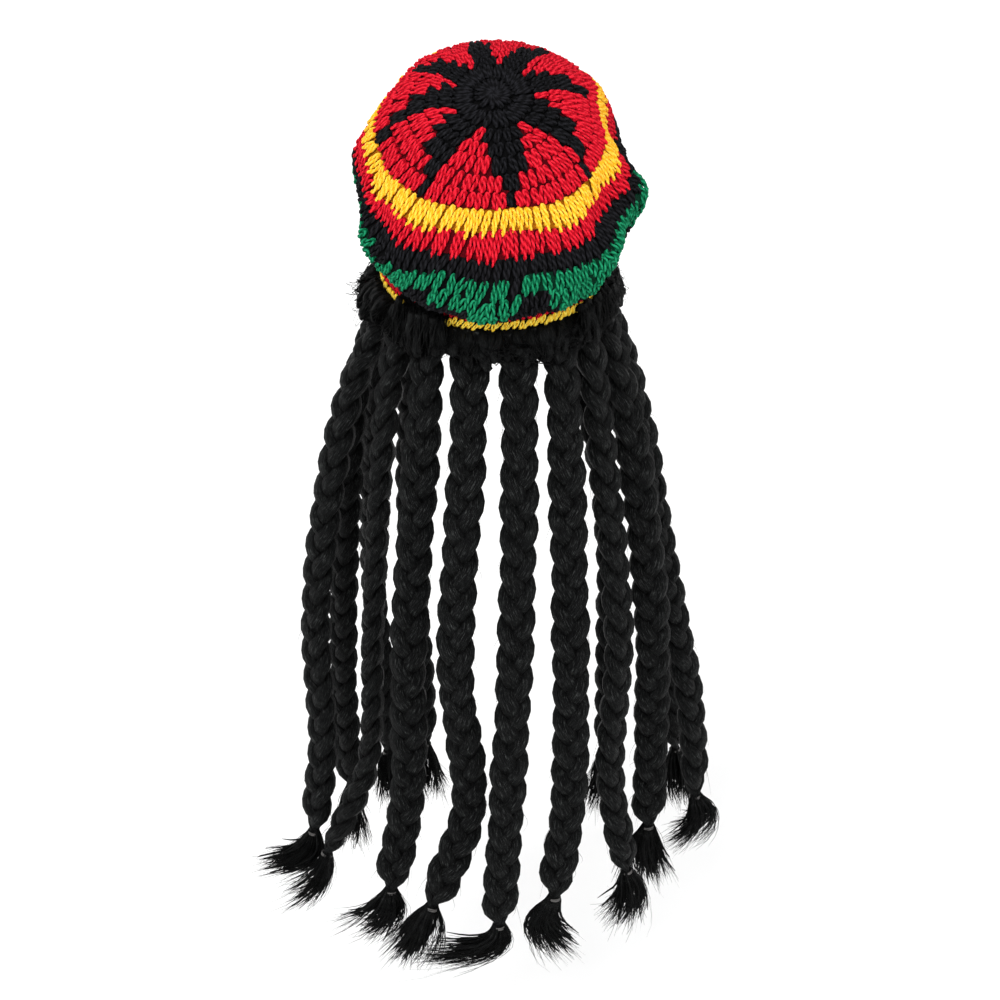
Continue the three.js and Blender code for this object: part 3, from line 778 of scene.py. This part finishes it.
def make_crown_backing():
    """The wall of close fabric that the raised stitches stand on, inside and out, coloured with the
    painted shade of the darker backing yarns.
    """
    level = np.arange(ROUND_COUNT * BACKING_ROWS + 1) / BACKING_ROWS
    angle = all_round(BACKING_COLUMNS)
    levels, angles = np.meshgrid(level, angle, indexing="ij")
    turned = stitch_angle(levels, angles)
    numbers = np.searchsorted(ROUND_LEVELS, level[:-1] + 0.5 / BACKING_ROWS, side="right") - 1
    middle = angle + math.pi / BACKING_COLUMNS
    slots = np.concatenate([backing_colour(number, middle) for number in numbers])
    shape = Shape()
    levels = stitch_level(levels, turned)
    outer, _ = on_crown(levels, turned, np.full(levels.shape, -BACKING_DEPTH))
    loops = INNER_LOOP_HEIGHT * np.sin(angles * INNER_LOOPS) * np.sin(levels * 2 * math.pi)
    inner, _ = on_crown(levels, turned, loops - KNIT_WALL)
    shape.sheet(outer, level, slot=slots)
    shape.sheet(inner, level, flip=True, slot=slots)
    shape.sheet(np.stack([outer[-1], inner[-1]]), np.array([0.0, 1.0]), slot=BLACK)
    shape.make("crown_backing", SHADED_BACKINGS)


# Crochet of the head band: its rows outside and inside, from the lower rim up
BAND_ROWS = [YELLOW, RED, BLACK, BLACK]
BAND_LINES = [0, 5.8, 12.5, 21, BAND_HEIGHT]

# The band's outer and inner faces: which way each looks, where its yarn lies from the inner face
# in mm, how many rows and stitches show there, and the sides, steps and radius in mm of the yarn.
BAND_FACES = table(
    "side place rows stitches sides steps yarn",
    (1, KNIT_WALL - 1.3, 3, 132, 7, 10, 0.9), (-1, 1.4, 4, 92, 4, 8, 1.3))
BAND_LOOP = np.array([
    (-0.05, 1.10, 0.2), (-0.22, 0.85, 1.0), (-0.28, 0.50, 1.5), (-0.16, 0.16, 1.6), (0.02, 0.00, 1.7),
    (0.20, 0.16, 1.6), (0.26, 0.50, 1.5), (0.14, 0.85, 1.2), (0.04, 1.08, 0.3),
])
BAND_LOOP_HEIGHT = 0.75
BAND_LEAN = 0.9
BAND_LEAN_SPREAD = 0.4
BAND_SHIFTS = (-0.7, 1.7)

# The close fabric inside the band: its two faces, and its gap to the rims
BAND_FABRIC = (1.0, KNIT_WALL - 1.2)
BAND_INSET = 0.4
BAND_COLUMNS = 180


def band_stitches(shape, row, face):
    """One row of the band's stitches on one of its faces."""
    count, steps, side = face["stitches"], face["steps"], face["side"]
    pitch = 2 * math.pi / count
    centre = (np.arange(count) + 0.5 * (row % 2)) * pitch
    low, high = BAND_LINES[row], BAND_LINES[row + 1]
    sideways, knots, rise = BAND_LOOP.T
    lean = BAND_LEAN + rng.normal(0, BAND_LEAN_SPREAD, count)
    angle = centre[:, None] + (sideways + lean[:, None] * (0.5 - knots)) * pitch
    up = high - knots * (high - low) + rng.uniform(*BAND_SHIFTS, count)[:, None]
    out = face["place"] + side * rise * BAND_LOOP_HEIGHT
    points = band_point(angle, out, up)
    outward = unit(band_point(angle, out + 1, up) - points) * side
    shape.tubes(through(points, steps), through(outward, steps), ring_section(face["sides"], PLY_WAIST),
                face["yarn"], PLY_TWIST, slot=BAND_ROWS[row])


def make_headband():
    shape = Shape()
    for face in BAND_FACES:
        for row in range(face["rows"]):
            band_stitches(shape, row, face)
    angle = all_round(BAND_COLUMNS)
    inner, outer = BAND_FABRIC
    low, high = BAND_INSET, BAND_HEIGHT - BAND_INSET
    outline = [(inner, low), (inner, high), (outer, high), (outer, low), (inner, low)]
    grid = np.stack([band_point(angle, out, up) for out, up in outline])
    yarns = [YARNS[BLACK], YARNS[RED], LIT_BAND_YELLOW, YARNS[GREEN], SHADED_BACKINGS[BLACK]]
    # The band's close fabric takes the black backing's painted shade.
    shape.sheet(grid, np.arange(len(outline)), slot=len(yarns) - 1)
    shape.make("headband_crochet", yarns, ("headband",))


# Plaits
SPAN_SAMPLES = 200
CURVE_SAMPLES = 1200
ARC_STEPS = 720
FACE_TURN = 1 / 3


def sampled(places, run, values):
    """Points whose distances along a line are run, taken at other places along it."""
    return np.stack([np.interp(places, run, values[:, i]) for i in range(3)], axis=-1)


def curve_through(points):
    """A centripetal Catmull-Rom curve through points, sampled evenly along its length."""
    points = np.array(points)
    held = [2 * points[0] - points[1], *points, 2 * points[-1] - points[-2]]
    found = []
    for i in range(len(points) - 1):
        a, b, c, d = held[i:i + 4]
        gaps = [max(np.linalg.norm(q - p), 1e-4) ** 0.5 for p, q in ((a, b), (b, c), (c, d))]
        start = ((b - a) / gaps[0] - (c - a) / (gaps[0] + gaps[1]) + (c - b) / gaps[1]) * gaps[1]
        stop = ((c - b) / gaps[1] - (d - b) / (gaps[1] + gaps[2]) + (d - c) / gaps[2]) * gaps[1]
        t = np.linspace(0, 1, SPAN_SAMPLES, endpoint=False)[:, None]
        found.append((2 * t**3 - 3 * t**2 + 1) * b + (t**3 - 2 * t**2 + t) * start
                     + (3 * t**2 - 2 * t**3) * c + (t**3 - t**2) * stop)
    line = np.concatenate([*found, points[-1:]])
    run = np.concatenate([[0], np.cumsum(np.linalg.norm(np.diff(line, axis=0), axis=1))])
    even = np.linspace(0, run[-1], CURVE_SAMPLES)
    return even, sampled(even, run, line)


def angle_at_arc(arc):
    """The angle round the band at a distance along it from the back."""
    angles = np.linspace(0, math.pi, ARC_STEPS + 1)
    half = HEAD_WIDTH / 2 + KNIT_WALL
    pace = np.hypot(half * np.cos(angles), BAND_REACH * np.sin(angles))[:-1]
    run = np.concatenate([[0], np.cumsum(pace * math.pi / ARC_STEPS)])
    return np.sign(arc) * np.interp(np.abs(arc), run, angles)


class Plait:
    """The centre line of a plait and its frame: along it, across its flat side and through it."""

    def __init__(self, index):
        self.index = index
        bulge, mid, low, end, face, self.lean = BRAID_ROUTES[index]
        self.angle = angle_at_arc((index - (BRAID_COUNT - 1) / 2) * BRAID_PITCH)
        root = band_point(self.angle, (WEFT_INNER + WEFT_OUTER) / 2, -WEFT_DROP - ROOT_GAP)
        neck = root + outward_at(self.angle) * bulge * NECK_SPREAD
        neck[2] = root[2] - ROUTE_HEIGHTS["neck"] * BRAID_LENGTH
        route = [root, root - BAND_UP * ROOT_DEPTH, neck]
        for place, name in ((mid, "mid"), (low, "low"), (end, "end"), (end, "beyond")):
            height = root[2] - ROUTE_HEIGHTS[name] * BRAID_LENGTH
            route.append([place[0] * CURTAIN_WIDTH / 2, place[1] * CURTAIN_DEPTH / 2, height])
        self.run, self.line = curve_through(route)
        self.tangent = unit(np.gradient(self.line, axis=0))
        step = 0.01
        root_wide = unit(band_point(self.angle + step, 0, 0) - band_point(self.angle - step, 0, 0))
        face_wide = np.array([math.cos(math.radians(face)), math.sin(math.radians(face)), 0])
        if face_wide @ root_wide < 0:
            face_wide = -face_wide
        turn = smooth(0, BRAID_LENGTH * FACE_TURN, self.run)[:, None]
        wide = root_wide * (1 - turn) + face_wide * turn
        self.wide = unit(wide - self.tangent * np.sum(wide * self.tangent, axis=1, keepdims=True))
        self.deep = np.cross(self.tangent, self.wide)

    def at(self, distance):
        """Place, tangent, width way and depth way at distances along the plait."""
        frames = (self.line, self.tangent, self.wide, self.deep)
        return [sampled(distance, self.run, values) for values in frames]


STRANDS = 3
STRAND_SWING = 7.3
STRAND_TURN = 0.95
STRAND_DEPTH = 3.7
STRAND_HALF_WIDTH = 6.9
STRAND_HALF_DEPTH = 5.3
STRAND_STEP = 3.9
STRAND_SIDES = 14
STRAND_CLUMPS = 5
PHASE_STEP = 0.7

# A slow wander of each lock: how far, over what length, and how far the locks are out of step.
WANDER = 0.5
WANDER_LENGTH = 31
WANDER_STEP = 2.1

# What is left of the locks' swing and size at the neck, as shares, and where the neck sets in.
NECK_LEFT = {"swing": 0.16, "depth": 0.2, "half_width": 0.36, "half_depth": 0.5}
NECK_EASE = 5

# How much wider and thinner the locks are where they leave the band, and for how long.
ROOT_WIDER = 0.12
ROOT_THINNER = 0.35
ROOT_FAN = 18

# How uneven a lock's section is: its clumps of fibres, and the fibres themselves.
CLUMP_RIPPLE = 0.05
FIBRE_SPREAD = 0.025


def strand_section(sides, clumps, seed):
    """A lock's section of radius 1 with uneven clumps of fibres round it."""
    random = np.random.default_rng(seed)
    angle = np.arange(sides) / sides * 2 * math.pi
    radius = 1 + CLUMP_RIPPLE * np.cos(clumps * angle + random.uniform(0, 6))
    return round_section(angle, radius + random.normal(0, FIBRE_SPREAD, sides))


def make_strands(shape, plait):
    """Three fat locks that cross in turn, from the band down to the elastic."""
    distance = np.linspace(-1, BRAID_LENGTH, int(BRAID_LENGTH / STRAND_STEP))
    centre, _, wide, deep = plait.at(np.maximum(distance, 0))
    period = STRANDS * LOBE_PITCH
    tight = 1 - smooth(BRAID_LENGTH - NECK_LENGTH - NECK_EASE, BRAID_LENGTH - 1, distance)
    fan = 1 - smooth(0, ROOT_FAN, distance)
    left = {name: eased(share, tight) for name, share in NECK_LEFT.items()}
    for strand in range(STRANDS):
        phase = 2 * math.pi * (distance / period + strand / STRANDS) + PHASE_STEP * plait.index
        swing = STRAND_SWING * np.arcsin(STRAND_TURN * np.cos(phase)) / math.asin(STRAND_TURN)
        wander = WANDER * np.sin(distance / WANDER_LENGTH + strand * WANDER_STEP + plait.index)
        path = moved(centre, wide, swing * left["swing"] + wander)
        path = moved(path, deep, STRAND_DEPTH * np.sin(2 * phase) * left["depth"])
        size = np.stack([STRAND_HALF_WIDTH * left["half_width"] * (1 + ROOT_WIDER * fan),
                         STRAND_HALF_DEPTH * left["half_depth"] * (1 - ROOT_THINNER * fan)], axis=-1)
        section = strand_section(STRAND_SIDES, STRAND_CLUMPS, 100 * plait.index + strand)
        shape.tubes(path[None], deep[None], section, size[None])


# Locks and single hairs of a tuft: how many, how thick in mm, how wide they fan out as a share of
# the tuft's width, the steps and sides of each, how much they curl in mm, and their lengths.
TUFT_HAIRS = table(
    "count radius fan steps sides curl length",
    (56, 1.3, 0.52, 8, 4, 1.5, (0.5, 0.9)), (200, 0.41, 0.62, 7, 3, 3.0, (0.65, 1)),
    (36, 0.17, 0.80, 8, 3, 5.0, (0.7, 1.1)))
TUFT_CLUMPS = 15
CLUMP_CURL = 3.5
TUFT_LEAN_BASE = 0.5
TUFT_LEAN_MORE = 0.4

# Each tuft's bow to the right, as a share of its length, and how full it is.
TUFT_BOWS = [0, 0, 0.02, 0.02, 0.02, 0.02, 0.02, 0.05, -0.20, 0.08, -0.05, 0.16, 0, 0]
TUFT_FULLNESS = [1, 1, 1, 1, 0.95, 1, 0.95, 0.85, 0.68, 0.9, 0.9, 1, 1, 1]

# How far forward the hairs may reach, in mm, and how much of the rest is taken back.
TUFT_FRONT = 126
FRONT_PRESS = 0.6

# How far single hairs stray from their clump round the tuft, out from its middle and in lean.
TUFT_STRAY = {"angle": 0.35, "reach": 0.16, "lean": 0.10}
TUFT_START = -0.1
TUFT_CORE = NECK_RADIUS * 0.6
TUFT_FLATNESS = 0.7
WAVE_SHARE = 0.35
WAVE_TURNS = 9
STRAY_LIMIT = 1.5
RIGHT = np.array([1.0, 0, 0])


def scatter(random, spread, size):
    """Random offsets about zero that never stray far."""
    return np.clip(random.normal(0, 1, size), -STRAY_LIMIT, STRAY_LIMIT) * spread


def make_tuft(shape, plait):
    """The loose brush of hair below the elastic: a full core, ragged hairs and fine stray ones."""
    random = np.random.default_rng(500 + plait.index)
    centre, along, wide, deep = plait.at(BRAID_LENGTH)
    clump_angle = random.uniform(0, 2 * math.pi, TUFT_CLUMPS)
    clump_reach = np.sqrt(random.uniform(0, 1, TUFT_CLUMPS))
    clump_sway = scatter(random, CLUMP_CURL, (TUFT_CLUMPS, 1, 3))
    for kind in TUFT_HAIRS:
        count, curl = kind["count"], kind["curl"]
        clump = random.integers(0, TUFT_CLUMPS, count)
        angle = clump_angle[clump] + scatter(random, TUFT_STRAY["angle"], count)
        reach = np.clip(clump_reach[clump] + scatter(random, TUFT_STRAY["reach"], count), 0, 1)
        length = (TUFT_LENGTH * random.uniform(*kind["length"], count))[:, None]
        t = np.linspace(TUFT_START, 1, kind["steps"])
        ahead = np.maximum(t, 0)
        lean = plait.lean * (TUFT_LEAN_BASE + TUFT_LEAN_MORE * plait.lean**2)
        lean = lean + scatter(random, TUFT_STRAY["lean"], count)
        swell = ahead**0.6 * (1.5 - 0.6 * ahead)
        across = TUFT_CORE + TUFT_WIDTH * kind["fan"] * TUFT_FULLNESS[plait.index] * swell
        paths = moved(centre, along, t * length * (1 - TUFT_DROOP * abs(plait.lean) * t))
        paths = moved(paths, wide, across * (np.cos(angle) * reach)[:, None])
        paths = moved(paths, deep, TUFT_FLATNESS * across * (np.sin(angle) * reach)[:, None])
        bow = TUFT_BOWS[plait.index] * np.sin(math.pi * ahead)
        paths = moved(paths, RIGHT, (lean[:, None] * ahead**2 + bow) * length)
        sway = clump_sway[clump] + scatter(random, curl, (count, 1, 3))
        wave = scatter(random, curl * WAVE_SHARE, (count, 1, 3))
        phase = random.uniform(0, 6, (count, 1))
        paths = moved(paths, sway, ahead**2)
        paths = moved(paths, wave, ahead * np.sin(WAVE_TURNS * t + phase))
        paths[..., 1] -= FRONT_PRESS * np.maximum(paths[..., 1] - TUFT_FRONT, 0)
        taper = kind["radius"] * np.clip(1.02 - t, 0.01, 1) ** 0.4
        size = np.stack([taper, taper * 0.8], axis=-1)
        shape.tubes(paths, np.broadcast_to(deep, paths.shape), ring_section(kind["sides"]), size, slot=1)


# Loose hairs along a plait, in mm. They start between margins from its two ends.
LOOSE_COUNT = 120
LOOSE_STEPS = 6
LOOSE_MARGINS = (6, 12)
LOOSE_LENGTH = (8, 30)
LOOSE_LIFT = (0.5, 2.4)
LOOSE_BOW = 2.0
LOOSE_ROOT = 0.86
LOOSE_RADIUS = 0.14


def make_flyaways(shape, plait):
    """Short fine hairs that have worked loose along the plait."""
    random = np.random.default_rng(900 + plait.index)
    count = LOOSE_COUNT
    start = random.uniform(LOOSE_MARGINS[0], BRAID_LENGTH - LOOSE_MARGINS[1], (count, 1))
    length = random.uniform(*LOOSE_LENGTH, (count, 1))
    t = np.linspace(0, 1, LOOSE_STEPS)
    centre, _, wide, deep = plait.at(start + t * length)
    angle = random.uniform(0, 2 * math.pi, (count, 1))
    lift = random.uniform(*LOOSE_LIFT, (count, 1)) ** 2 / (BRAID_WIDTH / 2)
    out = LOOSE_ROOT + lift * np.sin(t * math.pi * random.uniform(0.5, 0.95, (count, 1)))
    bow = random.normal(0, LOOSE_BOW, (count, 1)) * t**2
    paths = moved(centre, wide, np.cos(angle) * out * BRAID_WIDTH / 2 + bow)
    paths = moved(paths, deep, np.sin(angle) * out * BRAID_DEPTH / 2)
    radius = (LOOSE_RADIUS * (1.15 - t))[:, None]
    shape.tubes(paths, deep, ring_section(3), radius, slot=1)


def make_plait(index):
    plait = Plait(index)
    shape = Shape()
    make_strands(shape, plait)
    make_tuft(shape, plait)
    make_flyaways(shape, plait)
    number = f"{index + 1:02d}"
    shape.make(f"plait_{number}", [HAIR, LOOSE_HAIR], (f"braid_{number}",))
    make_elastic(plait, number)
    return plait


ELASTIC_TURNS = 3
ELASTIC_STEPS = 18
ELASTIC_RADIUS = 0.42
ELASTIC_PULL = 0.8


def make_elastic(plait, number):
    """A thin elastic wound round the neck of the plait."""
    turns = np.linspace(0, ELASTIC_TURNS * 2 * math.pi, ELASTIC_TURNS * ELASTIC_STEPS)
    rise = 0.8 * np.sin(turns * 0.37) + 0.25 * np.sin(turns * 1.7)
    centre, along, wide, deep = plait.at(BRAID_LENGTH)
    radius = NECK_RADIUS - ELASTIC_PULL
    path = moved(moved(centre, wide, radius * np.cos(turns)), deep, radius * np.sin(turns))
    path = moved(path, along, rise)[None]
    shape = Shape()
    shape.tubes(path, np.broadcast_to(along, path.shape), ring_section(6), ELASTIC_RADIUS)
    shape.make(f"elastic_{number}", [ELASTIC], (f"tie_{number}",))


# Strip of hair under the band: a dark core, puffed locks, ragged hairs and fine stray ones. How
# many for each plait, how thick in mm, how far they puff out in mm, and each one's steps and sides.
PUFF_HAIRS = table(
    "count radius puff rough steps sides slot",
    (18, 2.8, 6, 1.2, 11, 6, 0), (115, 0.43, 7, 1.3, 8, 3, 1), (28, 0.16, 9, 2.0, 8, 3, 1))
PUFF_SHARES = [1, 1.2, 1.7, 2.2, 1.9, 1.3, 1, 1, 1, 1, 1, 1, 1, 1]

# How much higher the hair bulges over the band's rim beside each plait, in mm.
ROOT_RISE = [0, 0, 4, 7, 8, 19, 0, 0, 2, 12, 12, 2, 0, 0]

# How far the strip's lower edge waves up and down between the plaits, in mm, and how often.
EDGE_WAVE = 4
EDGE_WAVES = 11

# The strip's columns, its length past the last plaits and how far apart its rows are in the UV.
WEFT_COLUMNS = 120
WEFT_MARGIN = 7
WEFT_ROW = 8

# The way of the hair that puffs out, in mm, from the strip over its lower edge into the plait.
PUFF_SIDE = 0.66 * BRAID_PITCH
PUFF_TAKEN = (0.35, 1.0)
ROLL = {"out": 0.8, "drop": 5, "more": 0.45, "spread": 6}
EDGE_DROP = (-21, -12)
JOIN_DEPTH = (0, 9)
END_DEPTH = 8
JOIN_SIDE = 8.5
JOINED = {"side": 0.85, "stray": 3.2}
ENDED = {"side": 0.6, "stray": 2.0}
KNOT_STRAY = 1.7
CURL_TURNS = (9, 15)
PUFF_CLUMPS = 3


def make_weft(plaits):
    """The strip of hair inside the band, and the hair that puffs out of it over each plait."""
    shape = Shape()
    reach = (BRAID_COUNT / 2) * BRAID_PITCH + WEFT_MARGIN
    angle = angle_at_arc(np.linspace(-reach, reach, WEFT_COLUMNS))
    outline = [(-SEAM_GAP, WEFT_INSIDE), (WEFT_INNER, WEFT_INSIDE), (WEFT_INNER, -WEFT_DROP),
               (WEFT_OUTER - 3, -WEFT_DROP), (WEFT_OUTER - 1.5, -WEFT_DROP / 2), (KNIT_WALL - 1, -1.4),
               (-SEAM_GAP, -1.0), (-SEAM_GAP, WEFT_INSIDE)]
    grid = np.stack([band_point(angle, out, up) for out, up in outline])
    shape.sheet(grid, WEFT_ROW * np.arange(len(outline)), closed_round=False, flip=True)
    random = np.random.default_rng(77)
    for plait in plaits:
        for kind in PUFF_HAIRS:
            make_puff(shape, plait, random, kind)
    shape.make("hair_roots", [HAIR, LOOSE_HAIR], ("hair_weft",))


def make_puff(shape, plait, random, kind):
    """Hair that leaves the strip under the band, puffs out, curls and gathers into the plait."""
    count, steps, rough = kind["count"], kind["steps"], kind["rough"]
    spread = random.uniform(-1, 1, count) * PUFF_SIDE
    angle = plait.angle + spread / BAND_REACH
    puff = random.uniform(*PUFF_TAKEN, count) * kind["puff"] * PUFF_SHARES[plait.index]
    top = band_point(angle, random.uniform(WEFT_INNER + 1, KNIT_WALL - 2.5, count), -1.0)
    height = ROOT_RISE[plait.index] - ROLL["drop"] - ROLL["more"] * puff
    height = height - random.uniform(0, ROLL["spread"], count)
    roll = band_point(angle, WEFT_OUTER - 3 + puff * ROLL["out"], height)
    edge = random.uniform(*EDGE_DROP, count) + EDGE_WAVE * np.sin(EDGE_WAVES * angle)
    below = band_point(angle + scatter(random, 0.03 * rough, count), WEFT_OUTER - 1 + puff, edge)
    lower = random.uniform(*JOIN_DEPTH, count)
    side = np.clip(spread / (BRAID_PITCH / 2), -1, 1) * JOIN_SIDE
    knots = [top, roll, below]
    for depth, form in ((lower, JOINED), (lower + END_DEPTH, ENDED)):
        centre, _, wide, deep = plait.at(depth)
        stray = scatter(random, form["stray"] * rough, count)
        knots.append(moved(moved(centre, wide, side * form["side"]), deep, stray))
    knots = np.stack(knots, axis=1)
    knots[:, 2:] += scatter(random, KNOT_STRAY * rough, (count, 3, 3))
    t = np.linspace(0, 1, steps)
    curl = np.sin(random.uniform(*CURL_TURNS, (count, 1)) * t + random.uniform(0, 6, (count, 1)))
    curl = curl * smooth(0, 0.4, t)
    paths = moved(through(knots, steps), scatter(random, rough, (count, 1, 3)), curl)
    taper = kind["radius"] * np.sqrt(np.clip(4 * (t + 0.08) * (1.04 - t), 0.02, 1))
    outward = unit(band_point(angle, 1, 0) - band_point(angle, 0, 0))
    ups = np.broadcast_to(outward[:, None], paths.shape)
    size = np.stack([taper * 1.25, taper * 0.8], axis=-1)
    section = strand_section(kind["sides"], PUFF_CLUMPS, plait.index)
    shape.tubes(paths, ups, section, size, slot=kind["slot"])


# Floor, light and camera. The floor's size and the lights are in metres.
CAMERA_ELEVATION = math.radians(21)
CAMERA_DISTANCE = 1500
CAMERA_SIDE = 4.3
CAMERA_DROP = -167
FOCAL_SHARE = 2.083
SENSOR = 36
FLOOR_LEVEL = -640
FLOOR_SIZE = 30


def make_stage():
    """A plain pale floor below the tips of the hair."""
    bpy.ops.mesh.primitive_plane_add(size=FLOOR_SIZE, location=(0, 0, FLOOR_LEVEL * MM))
    floor = bpy.context.object
    floor.name = "floor"
    material, tree, shader = new_material("pale_floor", 0.9, 0.1)
    greys = [(0.3, (0.90, 0.90, 0.90, 1)), (0.7, (0.93, 0.93, 0.93, 1))]
    colour = ramp_on(tree, noise_on(tree, 3.0, 2.0, 0.5), greys)
    tree.links.new(colour, shader.inputs["Base Color"])
    floor.data.materials.append(material)


def add_to_scene(name, data):
    item = bpy.data.objects.new(name, data)
    bpy.context.scene.collection.objects.link(item)
    return item


def add_light(name, kind, place, size, power):
    """A soft light that shines from its place on the middle of the part."""
    data = bpy.data.lights.new(name, kind)
    if kind == "SUN":
        data.angle = size
    else:
        data.shape = "DISK"
        data.size = size
    data.energy = power
    light = add_to_scene(name, data)
    light.location = place
    light.rotation_euler = (-Vector(place)).to_track_quat("-Z", "Y").to_euler()


def make_lights():
    world = bpy.data.worlds.new("studio")
    bpy.context.scene.world = world
    world.use_nodes = True
    background = world.node_tree.nodes["Background"]
    background.inputs["Color"].default_value = (1, 1, 1, 1)
    background.inputs["Strength"].default_value = 1.0
    add_light("key", "SUN", (-0.7, -1.5, 1.1), math.radians(35), 2.3)
    add_light("fill", "AREA", (1.4, -1.5, 0.2), 1.4, 8)


def make_camera():
    """A camera behind the hat that looks down on it, as the photo does."""
    forward = np.array([0, math.cos(CAMERA_ELEVATION), -math.sin(CAMERA_ELEVATION)])
    upward = np.array([0, math.sin(CAMERA_ELEVATION), math.cos(CAMERA_ELEVATION)])
    place = np.array([CAMERA_SIDE, 0, 0]) - forward * CAMERA_DISTANCE + upward * CAMERA_DROP
    data = bpy.data.cameras.new("camera")
    data.sensor_width = SENSOR
    data.lens = SENSOR * FOCAL_SHARE
    data.clip_start = 0.05
    data.clip_end = 60
    camera = add_to_scene("camera", data)
    camera.location = [float(v) * MM for v in place]
    camera.rotation_euler = (math.pi / 2 - CAMERA_ELEVATION, 0, 0)
    bpy.context.scene.camera = camera


make_camera()
make_stage()
make_lights()
bpy.context.scene.view_settings.view_transform = "Standard"
make_crown_backing()
make_crown_stitches()
make_headband()
make_weft([make_plait(index) for index in range(BRAID_COUNT)])
